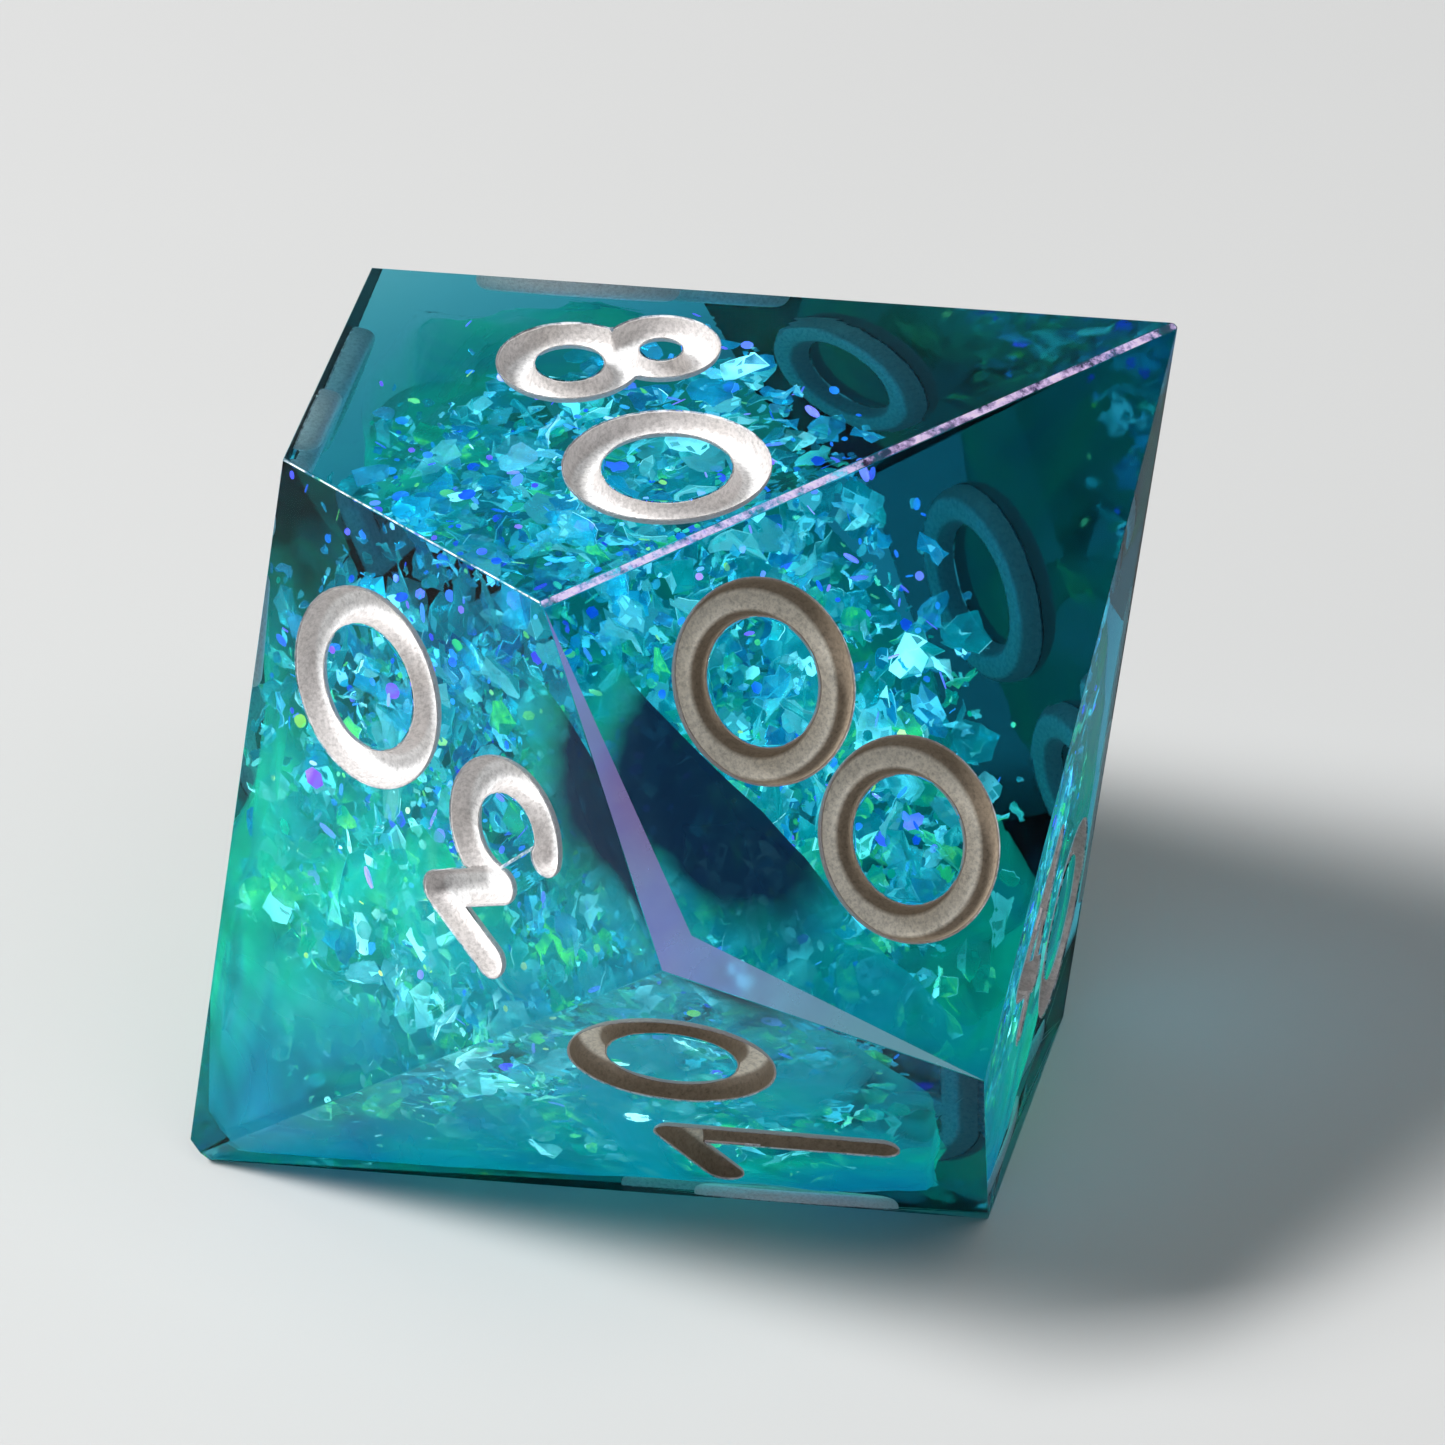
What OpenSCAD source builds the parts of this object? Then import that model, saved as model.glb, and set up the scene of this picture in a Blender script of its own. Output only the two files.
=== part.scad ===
// A ten-sided percentile die: ten kite faces around a long axis, numbered 00 to 90 in tens.
// Clear cast resin holds iridescent film and glitter, and paint lines the engraved numerals.
// The die rests on its 10 face. The origin is on that face's plane, under the die's centre,
// +Z is the outward normal of the 80 face, and +X is the way the 80 face's own pole leans.

/* [Body] */
// Distance between two opposite faces
face_to_face = 16; // [12:0.5:24]
// Angle between the long axis and a face's normal
face_lean = 52.2; // [51:0.1:54]

/* [Numerals] */
// Height of the digits 1 to 9 on a 16 mm die
digit_height = 4.5; // [3.8:0.1:4.6]
// Outer diameter of a zero on a 16 mm die
zero_across = 4.1; // [3.4:0.1:4.1]
// Width of the engraved strokes on a 16 mm die
stroke_width = 0.76; // [0.6:0.02:0.8]
// Depth of the engraved strokes on a 16 mm die
groove_depth = 0.5; // [0.3:0.05:0.6]
// Thickness of the paint on a stroke's floor and walls
paint_thick = 0.07; // [0.04:0.01:0.12]
// How far the paint stops short of the face
paint_recess = 0.04; // [0.02:0.01:0.1]

/* [Inclusions] */
// Diameter of the ball of resin that holds film and glitter, on a 16 mm die
cloud_across = 12.8; // [8:0.2:12.8]
// Distance between neighbouring flakes on a 16 mm die
seat_pitch = 2.05; // [2.05:0.05:3]
// Widest a scrap of film gets on a 16 mm die
film_across = 1.6; // [0.8:0.1:1.6]
// Width of a glitter dot across its corners on a 16 mm die
glitter_across = 0.55; // [0.3:0.05:0.6]
// Thickness of the film and the glitter
flake_thick = 0.06; // [0.04:0.01:0.1]

/* [Hidden] */

unit = face_to_face / 16;               // scales every size that is given for a 16 mm die
centre_height = face_to_face / 2;
pole = centre_height / cos(face_lean);  // centre to either pole
belt_rise = pole * pow(tan(18), 2);     // belt corners stand this far above and below the middle
belt = (pole + belt_rise) / tan(face_lean);
bulk = 4 * pole;                        // larger than the die, for the slabs that shape it

// Face k is centred on belt corner k. Odd faces meet at the +X pole and even ones at the other.
// Opposite faces add up to 90.
face_value = [50, 80, 30, 0, 70, 40, 10, 60, 90, 20];
// Height of each face's number above the point nearest the die's centre: hand finishing
// takes more off some faces than others, so the numbers don't sit level.
number_rise = [-2.1, -0.8, -2.4, -2.0, -2.2, -2.0, -1.9, -2.2, -1.8, -2.1];
tens_shift = -2.05;                     // from the face's middle line to the tens digit's centre
zero_shift = 2.3;                       // and to the zero's centre

stroke = stroke_width * unit;
depth = groove_depth * unit;
half_rise = (digit_height - stroke_width) / 2 * unit;  // middle of the digit to an end stroke
arc_step = 12;                          // degrees between the points of a curved stroke
cut_clear = 0.5;                        // how far a cutter stands proud of the face

film_kinds = 3;
glitter_kinds = 4;
cloud_seed = 47;
film_corners = 7;
glitter_corners = 6;
seat_jitter = 0.1;

function face_of(value) = search(value, face_value)[0];
function belt_turn(k) = 144 + 36 * k;
function unit_vector(v) = v / norm(v);
function backwards(list) = [for (i = [len(list) - 1:-1:0]) list[i]];

// Points along an arc, from one angle to the other.
function arc(centre, radius, from, to) =
    let (n = ceil(abs(to - from) / arc_step))
    [for (i = [0:n])
        let (a = from + (to - from) * i / n)
        centre + radius * [cos(a), sin(a)]];

// Direction of travel at one point of a path.
function heading(path, i) =
    let (ahead = i < len(path) - 1 ? unit_vector(path[i + 1] - path[i]) : [0, 0])
    let (behind = i > 0 ? unit_vector(path[i] - path[i - 1]) : [0, 0])
    unit_vector(ahead + behind);

// One edge of a stroke: side is 1 for the left of the path and -1 for the right.
function stroke_edge(path, width, side) =
    [for (i = [0:len(path) - 1])
        let (d = heading(path, i))
        path[i] + side * width / 2 * [-d.y, d.x]];

// The round end of a stroke, from its left edge to its right one.
function stroke_end(tip, direction, width) =
    let (turn = atan2(direction.y, direction.x))
    [for (a = [90 - arc_step:-arc_step:-90 + arc_step / 2])
        tip + width / 2 * [cos(turn + a), sin(turn + a)]];

module stroke_shape(path, width) {
    last = len(path) - 1;
    polygon(concat(
        stroke_edge(path, width, 1),
        stroke_end(path[last], heading(path, last), width),
        backwards(stroke_edge(path, width, -1)),
        stroke_end(path[0], -heading(path, 0), width)
    ));
}

// A ring stroke, given by its middle line.
module ring_shape(centre, radius, width) {
    translate(centre)
        difference() {
            circle(r = radius + width / 2, $fn = 72);
            circle(r = radius - width / 2, $fn = 72);
        }
}

module straight(x1, y1, x2, y2, width) {
    stroke_shape([[x1, y1 * half_rise], [x2, y2 * half_rise]], width);
}

module shape_0(width) {
    ring_shape([0, 0], (zero_across - stroke_width) / 2 * unit, width);
}

module shape_1(width) {
    straight(-0.75 * unit, 0.6, 0.15 * unit, 1, width);
    straight(0.15 * unit, 1, 0.15 * unit, -1, width);
}

module shape_2(width) {
    bowl = 0.98 * unit;
    hub = [0, half_rise - bowl];
    foot = [-1.1 * unit, -half_rise];
    curve = arc(hub, bowl, 165, -38);
    stroke_shape(curve, width);
    stroke_shape([curve[len(curve) - 1], foot], width);
    straight(foot.x, -1, 1.15 * unit, -1, width);
}

module shape_3(width) {
    bowl = 1.17 * unit;
    hub = [0.05 * unit, bowl - half_rise];
    curve = arc(hub, bowl, 119, -155);
    straight(-1.2 * unit, 1, 0.62 * unit, 1, width);
    stroke_shape([[0.62 * unit, half_rise], curve[0]], width);
    stroke_shape(curve, width);
}

module shape_4(width) {
    straight(0.5 * unit, 1, -1.25 * unit, -0.45, width);
    straight(-1.25 * unit, -0.45, 1.3 * unit, -0.45, width);
    straight(0.5 * unit, 1, 0.5 * unit, -1, width);
}

module shape_5(width) {
    bowl = 1.17 * unit;
    hub = [-0.05 * unit, bowl - half_rise];
    curve = arc(hub, bowl, 138, -152);
    straight(1.05 * unit, 1, -0.78 * unit, 1, width);
    stroke_shape([[-0.78 * unit, half_rise], curve[0]], width);
    stroke_shape(curve, width);
}

module shape_6(width) {
    loop = 1.1 * unit;
    hub = [0, loop - half_rise];
    join = 152;                         // where the stem meets the loop
    half_way = join + 18 * arc_step;
    stroke_shape(concat([[0.35 * unit, half_rise]], arc(hub, loop, join, half_way)), width);
    stroke_shape(arc(hub, loop, half_way - arc_step, join + 360), width);
}

module shape_7(width) {
    straight(-1.1 * unit, 1, 1 * unit, 1, width);
    straight(1 * unit, 1, -0.75 * unit, -1, width);
}

module shape_8(width) {
    upper = 0.43 * half_rise;
    lower = 0.57 * half_rise;
    ring_shape([0, half_rise - upper], upper, width);
    ring_shape([0, lower - half_rise], lower, width);
}

module digit_shape(digit, width) {
    if (digit == 0) shape_0(width);
    if (digit == 1) shape_1(width);
    if (digit == 2) shape_2(width);
    if (digit == 3) shape_3(width);
    if (digit == 4) shape_4(width);
    if (digit == 5) shape_5(width);
    if (digit == 6) shape_6(width);
    if (digit == 7) shape_7(width);
    if (digit == 8) shape_8(width);
    if (digit == 9) rotate(180) shape_6(width);
}

// Stands the die, drawn about its centre with its long axis upright, on its 10 face.
module stand() {
    translate([0, 0, centre_height])
        rotate([0, face_lean, 0])
            children();
}

// Puts its children on face k: x to the right, y towards the face's pole, z outwards.
module on_face(k) {
    odd = k % 2 == 1;
    rotate([0, 0, belt_turn(k)])
        rotate([0, odd ? face_lean : 180 - face_lean, 0])
            translate([0, 0, centre_height])
                rotate([0, 0, odd ? 90 : -90])
                    children();
}

// Puts its children at one digit's place: the floor of its groove is at z = 0.
module at_digit(k, shift) {
    on_face(k)
        translate([shift * unit, number_rise[k] * unit, -depth])
            children();
}

// Five equal slabs, one for each pair of opposite faces, leave the ten-sided body.
module blank() {
    intersection_for (k = [0:4])
        rotate([0, 0, belt_turn(k)])
            rotate([0, k % 2 == 1 ? face_lean : 180 - face_lean, 0])
                cube([bulk, bulk, face_to_face], center = true);
}

module digit_cut(k, shift, digit) {
    at_digit(k, shift)
        linear_extrude(depth + cut_clear)
            digit_shape(digit, stroke);
}

// The paint that lines one digit's groove: its floor and both walls.
module digit_paint(k, shift, digit) {
    at_digit(k, shift)
        difference() {
            linear_extrude(depth - paint_recess)
                digit_shape(digit, stroke);
            translate([0, 0, paint_thick])
                linear_extrude(depth)
                    digit_shape(digit, stroke - 2 * paint_thick);
        }
}

module tens_paint(value) {
    color("silver")
        stand()
            digit_paint(face_of(value), tens_shift, value / 10);
}

module zero_paint(value) {
    color("silver")
        stand()
            digit_paint(face_of(value), zero_shift, 0);
}

// Every place in the cloud that a flake may take: a body-centred grid, cut to a ball.
seat_row = ceil(cloud_across / seat_pitch / 2);
layer_height = 0.8 * seat_pitch;
layer_count = ceil(cloud_across / layer_height / 2);
seats = [
    for (k = [-layer_count:layer_count], j = [-seat_row:seat_row], i = [-seat_row:seat_row])
        let (half = k % 2 == 0 ? 0 : 0.5)
        let (place = [seat_pitch * (i + half), seat_pitch * (j + half), layer_height * k])
        if (norm(place) < cloud_across / 2)
            place * unit
];
seat_turns = rands(0, 360, 3 * len(seats), cloud_seed);
seat_nudges = rands(-seat_jitter, seat_jitter, 3 * len(seats), cloud_seed + 1);

function three_of(list, i) = [list[3 * i], list[3 * i + 1], list[3 * i + 2]];

module at_seat(i) {
    translate(seats[i] + three_of(seat_nudges, i) * unit)
        rotate(three_of(seat_turns, i))
            children();
}

module film_scrap(i) {
    ragged = rands(0.6, 1, film_corners, cloud_seed + i);
    outline = [for (c = [0:film_corners - 1])
        film_across / 2 * unit * ragged[c] * [cos(c * 360 / film_corners), sin(c * 360 / film_corners)]];
    at_seat(i)
        linear_extrude(flake_thick, center = true)
            polygon(outline);
}

module glitter_dot(i) {
    at_seat(i)
        linear_extrude(flake_thick, center = true)
            circle(d = glitter_across * unit, $fn = glitter_corners);
}

kinds = film_kinds + glitter_kinds;

// The film and glitter kinds take the seats in turn, film first.
module film_of_kind(kind) {
    for (i = [kind:kinds:len(seats) - 1])
        film_scrap(i);
}

module glitter_of_kind(kind) {
    for (i = [film_kinds + kind:kinds:len(seats) - 1])
        glitter_dot(i);
}

module resin_body() {
    color([0.05, 0.6, 0.62, 0.45])
        stand()
            difference() {
                blank();
                for (k = [0:9]) {
                    digit_cut(k, tens_shift, face_value[k] / 10);
                    digit_cut(k, zero_shift, 0);
                }
                for (kind = [0:film_kinds - 1])
                    film_of_kind(kind);
                for (kind = [0:glitter_kinds - 1])
                    glitter_of_kind(kind);
            }
}

module film_cyan() {
    color([0.45, 0.95, 1])
        stand()
            film_of_kind(0);
}

module film_blue() {
    color([0.15, 0.45, 0.95])
        stand()
            film_of_kind(1);
}

module film_green() {
    color([0.3, 0.95, 0.45])
        stand()
            film_of_kind(2);
}

module glitter_violet() {
    color([0.45, 0.25, 0.95])
        stand()
            glitter_of_kind(0);
}

module glitter_blue() {
    color([0.1, 0.35, 0.95])
        stand()
            glitter_of_kind(1);
}

module glitter_green() {
    color([0.2, 0.9, 0.35])
        stand()
            glitter_of_kind(2);
}

module glitter_gold() {
    color([0.85, 0.9, 0.3])
        stand()
            glitter_of_kind(3);
}

resin_body();
tens_paint(0);  // paint_00_tens
zero_paint(0);  // paint_00_zero
tens_paint(10);  // paint_10_tens
zero_paint(10);  // paint_10_zero
tens_paint(20);  // paint_20_tens
zero_paint(20);  // paint_20_zero
tens_paint(30);  // paint_30_tens
zero_paint(30);  // paint_30_zero
tens_paint(40);  // paint_40_tens
zero_paint(40);  // paint_40_zero
tens_paint(50);  // paint_50_tens
zero_paint(50);  // paint_50_zero
tens_paint(60);  // paint_60_tens
zero_paint(60);  // paint_60_zero
tens_paint(70);  // paint_70_tens
zero_paint(70);  // paint_70_zero
tens_paint(80);  // paint_80_tens
zero_paint(80);  // paint_80_zero
tens_paint(90);  // paint_90_tens
zero_paint(90);  // paint_90_zero
film_cyan();
film_blue();
film_green();
glitter_violet();
glitter_blue();
glitter_green();
glitter_gold();
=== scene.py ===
# A percentile die of clear blue-green resin, with iridescent film, glitter and painted numerals.
import math
import random

import bmesh
import bpy
import numpy as np
from mathutils import Matrix, Quaternion, Vector, noise
from mathutils.geometry import delaunay_2d_cdt


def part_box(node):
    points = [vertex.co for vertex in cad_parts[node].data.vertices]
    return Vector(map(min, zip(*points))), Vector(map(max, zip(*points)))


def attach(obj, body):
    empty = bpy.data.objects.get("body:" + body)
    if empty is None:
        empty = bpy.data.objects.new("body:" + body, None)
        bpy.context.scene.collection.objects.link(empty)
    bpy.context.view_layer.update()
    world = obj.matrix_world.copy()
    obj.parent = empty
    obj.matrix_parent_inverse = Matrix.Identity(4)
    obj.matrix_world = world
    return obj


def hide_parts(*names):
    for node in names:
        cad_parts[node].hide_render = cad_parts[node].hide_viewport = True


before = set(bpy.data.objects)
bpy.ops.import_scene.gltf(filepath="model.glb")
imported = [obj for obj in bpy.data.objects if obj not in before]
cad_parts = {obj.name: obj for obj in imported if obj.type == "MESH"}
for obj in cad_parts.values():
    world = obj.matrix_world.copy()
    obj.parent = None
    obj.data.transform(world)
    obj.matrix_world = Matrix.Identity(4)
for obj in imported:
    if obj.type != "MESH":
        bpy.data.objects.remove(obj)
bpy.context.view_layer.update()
print("frame loaded")

mm = 0.001  # shapes are worked out in millimetres and scaled when they become meshes

# the body's driving sizes, in millimetres, all worked out from its box
lowest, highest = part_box("resin_body")
extent = (highest - lowest) / mm
half = extent.z / 2  # centre to any face
lean = math.atan2(extent.x, extent.z)  # angle between the long axis and a face's normal
poleReach = half / math.cos(lean)
beltRise = poleReach * math.tan(math.radians(18)) ** 2
beltReach = (poleReach + beltRise) / math.tan(lean)
centre = Vector((0, 0, half))
stand = Matrix.Translation(centre) @ Matrix.Rotation(lean, 4, "Y")
northPole = stand @ Vector((0, 0, poleReach))
southPole = stand @ Vector((0, 0, -poleReach))
axis = (northPole - centre).normalized()
faceCount = 10
faceValues = [50, 80, 30, 0, 70, 40, 10, 60, 90, 20]  # face k is centred on belt corner k


def beltCorner(k):
    turn = math.radians(144 + 36 * k)
    rise = beltRise if k % 2 == 0 else -beltRise
    return stand @ Vector((beltReach * math.cos(turn), beltReach * math.sin(turn), rise))


def facePole(k):
    return northPole if k % 2 else southPole


def facePlace(k):
    # x to the right of the numerals, y towards the face's pole, z outwards
    tip = facePole(k)
    outward = (beltCorner(k - 1) - tip).cross(beltCorner(k + 1) - tip).normalized()
    if outward.dot(tip - centre) < 0:
        outward.negate()
    upward = (tip - beltCorner(k)).normalized()
    right = upward.cross(outward)
    foot = centre + outward * half
    return Matrix.Translation(foot) @ Matrix((right, upward, outward)).transposed().to_4x4()


places = [facePlace(k) for k in range(faceCount)]
outwards = np.array([place.to_3x3().col[2] for place in places])


def roomAt(points):
    # distance from each point to the nearest face
    return half - ((np.asarray(points) - np.array(centre)) @ outwards.T).max(axis=1)


# a socket of a shader graph that can be used in Python sums
class Wire:
    def __init__(self, finish, socket):
        self.finish = finish
        self.socket = socket

    def maths(self, operation, first, second=None):
        given = {0: first} if second is None else {0: first, 1: second}
        return self.finish.add("Math", given, operation=operation)

    def __add__(self, other):
        return self.maths("ADD", self, other)

    def __radd__(self, other):
        return self.maths("ADD", other, self)

    def __sub__(self, other):
        return self.maths("SUBTRACT", self, other)

    def __rsub__(self, other):
        return self.maths("SUBTRACT", other, self)

    def __mul__(self, other):
        return self.maths("MULTIPLY", self, other)

    def __rmul__(self, other):
        return self.maths("MULTIPLY", other, self)

    def __pow__(self, other):
        return self.maths("POWER", self, other)

    def fraction(self):
        return self.maths("FRACT", self)


# a material and the ways of adding nodes to it
class Finish:
    def __init__(self, name):
        self.material = bpy.data.materials.new(name)
        self.material.use_nodes = True
        self.nodes = self.material.node_tree.nodes
        self.links = self.material.node_tree.links
        self.nodes.clear()

    def add(self, kind, given=None, output=0, stops=None, **settings):
        node = self.nodes.new("ShaderNode" + kind)
        for name, value in settings.items():
            setattr(node, name, value)
        if stops:
            ramp = node.color_ramp
            while len(ramp.elements) < len(stops):
                ramp.elements.new(1)
            for element, (place, colour) in zip(ramp.elements, stops):
                element.position = place
                element.color = (*colour, 1)
        for name, value in (given or {}).items():
            if isinstance(value, Wire):
                self.links.new(value.socket, node.inputs[name])
            else:
                node.inputs[name].default_value = value
        return None if output is None else Wire(self, node.outputs[output])

    def noise(self, where, scale, detail=3, roughness=0.5, distortion=0, output=0):
        given = {"Vector": where, "Scale": scale, "Detail": detail}
        given.update({"Roughness": roughness, "Distortion": distortion})
        return self.add("TexNoise", given, output=output)

    def spread(self, value, low, high, toLow=0, toHigh=1):
        given = {"Value": value, "From Min": low, "From Max": high, "To Min": toLow, "To Max": toHigh}
        return self.add("MapRange", given)

    def blend(self, mask, first, second, how="MIX"):
        given = {0: mask, 6: first, 7: second}
        return self.add("Mix", given, output=2, data_type="RGBA", blend_type=how)

    def bump(self, height, strength, distance):
        return self.add("Bump", {"Height": height, "Strength": strength, "Distance": distance})

    def place(self, stretch=(1, 1, 1), turn=(0, 0, 0)):
        # object coordinates, so that patterns stay on the piece
        where = self.add("TexCoord", output="Object")
        return self.add("Mapping", {"Vector": where, "Scale": stretch, "Rotation": turn})

    def surface(self, **given):
        named = {name.replace("_", " "): value for name, value in given.items()}
        return self.add("BsdfPrincipled", named)

    def close(self, shader, volume=None):
        given = {"Surface": shader}
        if volume:
            given["Volume"] = volume
        self.add("OutputMaterial", given, output=None)
        return self.material


camera = {
    "azimuth": -15.06,
    "elevation": 32.4,
    "roll": 0.7,
    "distance": 336,  # mm from the point it looks at
    "lens": 420.7,
    "sensor": 36,
    "nearest": 0.01,  # metres
    "farthest": 20,
    "aimRight": 0.85,  # mm from the die's centre to the point it looks at
    "aimUp": 0.4,
}

studio = {
    "worldColour": (0.70, 0.74, 0.78),
    "worldStrength": 0.2,
    "floorColour": (0.49, 0.49, 0.485),
    "floorFibre": 0.97,  # how much of the floor's brightness its fibres keep
    "floorGrain": 60,
    "floorRough": 0.8,
    "floorGloss": 0.1,
    "floorSize": 3.0,  # metres
    "keyPower": 4.2,  # watts
    "keySize": 0.16,  # metres
    "keyFrom": (-0.66, 0.08, 0.75),
    "fillPower": 0.55,
    "fillSize": 0.3,
    "fillFrom": (0.2, -0.35, 0.92),
    "lampDistance": 0.5,  # metres from the origin
}


def makeCamera(values):
    turn = math.radians(values["azimuth"])
    rise = math.radians(values["elevation"])
    roll = math.radians(values["roll"])
    back = Vector((
        math.sin(turn) * math.cos(rise),
        -math.cos(turn) * math.cos(rise),
        math.sin(rise),
    ))
    right = Vector((math.cos(turn), math.sin(turn), 0))
    up = back.cross(right)
    target = centre + right * values["aimRight"] + up * values["aimUp"]
    tiltedRight = right * math.cos(roll) - up * math.sin(roll)
    tiltedUp = up * math.cos(roll) + right * math.sin(roll)
    data = bpy.data.cameras.new("camera")
    data.lens = values["lens"]
    data.sensor_width = values["sensor"]
    data.clip_start = values["nearest"]
    data.clip_end = values["farthest"]
    seer = bpy.data.objects.new("camera", data)
    bpy.context.scene.collection.objects.link(seer)
    turned = Matrix((tiltedRight, tiltedUp, back)).transposed().to_4x4()
    place = (target + back * values["distance"]) * mm
    seer.matrix_world = Matrix.Translation(place) @ turned
    bpy.context.scene.camera = seer


def makeLamp(name, direction, power, size):
    data = bpy.data.lights.new(name, "AREA")
    data.energy = power
    data.size = size
    lamp = bpy.data.objects.new(name, data)
    bpy.context.scene.collection.objects.link(lamp)
    towards = Vector(direction).normalized()
    turned = towards.to_track_quat("Z", "Y").to_matrix().to_4x4()
    lamp.matrix_world = Matrix.Translation(towards * studio["lampDistance"]) @ turned


def opaque(colour):
    return (*colour, 1)


def makeStudio():
    world = bpy.data.worlds.new("studio")
    world.use_nodes = True
    backdrop = world.node_tree.nodes["Background"]
    backdrop.inputs["Color"].default_value = opaque(studio["worldColour"])
    backdrop.inputs["Strength"].default_value = studio["worldStrength"]
    bpy.context.scene.world = world
    makeLamp("keyLamp", studio["keyFrom"], studio["keyPower"], studio["keySize"])
    makeLamp("fillLamp", studio["fillFrom"], studio["fillPower"], studio["fillSize"])
    bpy.ops.mesh.primitive_plane_add(size=studio["floorSize"])
    floor = bpy.context.object
    floor.name = "floor"
    paper = Finish("paleFloor")
    grain = paper.noise(paper.place(), studio["floorGrain"], detail=6)
    fibre = [channel * studio["floorFibre"] for channel in studio["floorColour"]]
    tone = paper.blend(grain, opaque(studio["floorColour"]), opaque(fibre))
    floor.data.materials.append(paper.close(paper.surface(
        Base_Color=tone, Roughness=studio["floorRough"], Specular_IOR_Level=studio["floorGloss"],
    )))


makeCamera(camera)
makeStudio()
bpy.context.scene.view_settings.view_transform = "Standard"
print("camera and studio made")


# the numerals are strokes of one width, in millimetres on the face
numeral = {
    "height": 4.5,
    "zeroAcross": 4.1,
    "strokeWidth": 0.76,
    "depth": 0.5,
    "tensShift": -2.05,  # to the right of the face's middle
    "zeroShift": 2.3,
    "rises": [-2.1, -0.8, -2.4, -2.0, -2.2, -2.0, -1.9, -2.2, -1.8, -2.1],  # for faces 0 to 9
    "inShade": (0, 70, 60),  # painted shade: the numerals on these faces get a darker, browner copy of the paint, as they lie in shade
    "arcStep": 6,  # degrees
    "boxiness": 2.7,  # 2 makes a round-bottomed groove, more a squarer one
    "levels": [1, 0.985, 0.95, 0.89, 0.79, 0.65, 0.45, 0.22],  # outlines, as shares of the half width
    "meetingPoints": 1e-5,  # points nearer than this are one
}

strokeHalf = numeral["strokeWidth"] / 2
halfRise = (numeral["height"] - numeral["strokeWidth"]) / 2


def arc(hub, radius, fromDegrees, toDegrees):
    steps = max(2, math.ceil(abs(toDegrees - fromDegrees) / numeral["arcStep"]))
    turns = np.radians(np.linspace(fromDegrees, toDegrees, steps + 1))
    return np.array(hub) + radius * np.stack([np.cos(turns), np.sin(turns)], axis=1)


def line(*points):
    return np.array([(x, y * halfRise) for x, y in points], float)


def ring(hub, radius):
    return arc(hub, radius, 0, 360)


def joined(start, curve):
    return np.array([start, curve[0]], float)


def digitPaths(digit):
    if digit == 0:
        return [ring((0, 0), (numeral["zeroAcross"] - numeral["strokeWidth"]) / 2)]
    if digit == 1:
        return [line((-0.75, 0.6), (0.15, 1)), line((0.15, 1), (0.15, -1))]
    if digit == 2:
        bowl = 0.98
        curve = arc((0, halfRise - bowl), bowl, 165, -38)
        foot = (-1.1, -halfRise)
        return [curve, joined(foot, curve[::-1]), line((-1.1, -1), (1.15, -1))]
    if digit == 3:
        bowl = 1.17
        curve = arc((0.05, bowl - halfRise), bowl, 119, -155)
        return [line((-1.2, 1), (0.62, 1)), joined((0.62, halfRise), curve), curve]
    if digit == 4:
        slope = line((0.5, 1), (-1.25, -0.45))
        return [slope, line((-1.25, -0.45), (1.3, -0.45)), line((0.5, 1), (0.5, -1))]
    if digit == 5:
        bowl = 1.17
        curve = arc((-0.05, bowl - halfRise), bowl, 138, -152)
        return [line((1.05, 1), (-0.78, 1)), joined((-0.78, halfRise), curve), curve]
    if digit == 7:
        return [line((-1.1, 1), (1, 1)), line((1, 1), (-0.75, -1))]
    if digit == 8:
        upper, lower = 0.43 * halfRise, 0.57 * halfRise
        return [ring((0, halfRise - upper), upper), ring((0, lower - halfRise), lower)]
    loop = 1.1
    hub = np.array((0, loop - halfRise))
    six = [ring(hub, loop), joined((0.35, halfRise), arc(hub, loop, 152, 140))]
    return six if digit == 6 else [-path for path in six]  # a 9 is a 6 turned round


def isRing(path):
    return len(path) > 4 and np.allclose(path[0], path[-1])


def headings(path):
    steps = np.diff(path, axis=0)
    steps /= np.linalg.norm(steps, axis=1)[:, None]
    ahead = np.vstack([steps, steps[-1:]])
    behind = np.vstack([steps[:1], steps])
    if isRing(path):
        ahead[-1] = steps[0]
        behind[0] = steps[-1]
    mean = ahead + behind
    return mean / np.linalg.norm(mean, axis=1)[:, None]


def outlines(path, reach):
    # closed loops at one distance from a path
    along = headings(path)
    aside = np.stack([-along[:, 1], along[:, 0]], axis=1) * reach
    left, right = path + aside, path - aside
    if isRing(path):
        return [left[:-1], right[:-1]]
    caps = []
    for tip, heading in ((path[-1], along[-1]), (path[0], -along[0])):
        turn = math.degrees(math.atan2(heading[1], heading[0]))
        caps.append(arc(tip, reach, turn + 90, turn - 90)[1:-1])
    return [np.vstack([left, caps[0], right[::-1], caps[1]])]


def nearestOnPaths(points, paths):
    # distance to the nearest middle line, and the point there
    best = np.full(len(points), np.inf)
    nearest = np.array(points, float)
    for path in paths:
        for start, end in zip(path[:-1], path[1:]):
            span = end - start
            share = np.clip(((points - start) @ span) / (span @ span), 0, 1)
            found = start + share[:, None] * span
            distance = np.linalg.norm(points - found, axis=1)
            closer = distance < best
            best[closer] = distance[closer]
            nearest[closer] = found[closer]
    return best, nearest


def grooveShape(share):
    # 0 at the rim and 1 on the floor
    inside = np.clip(share, 0, 1)
    return (1 - inside ** numeral["boxiness"]) ** (1 / numeral["boxiness"])


def facePaths(k):
    # both digits' strokes, moved to their places on face k
    rise = numeral["rises"][k]
    tens = [path + (numeral["tensShift"], rise) for path in digitPaths(faceValues[k] // 10)]
    zero = [path + (numeral["zeroShift"], rise) for path in digitPaths(0)]
    return {"tens": tens, "zero": zero}


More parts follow.
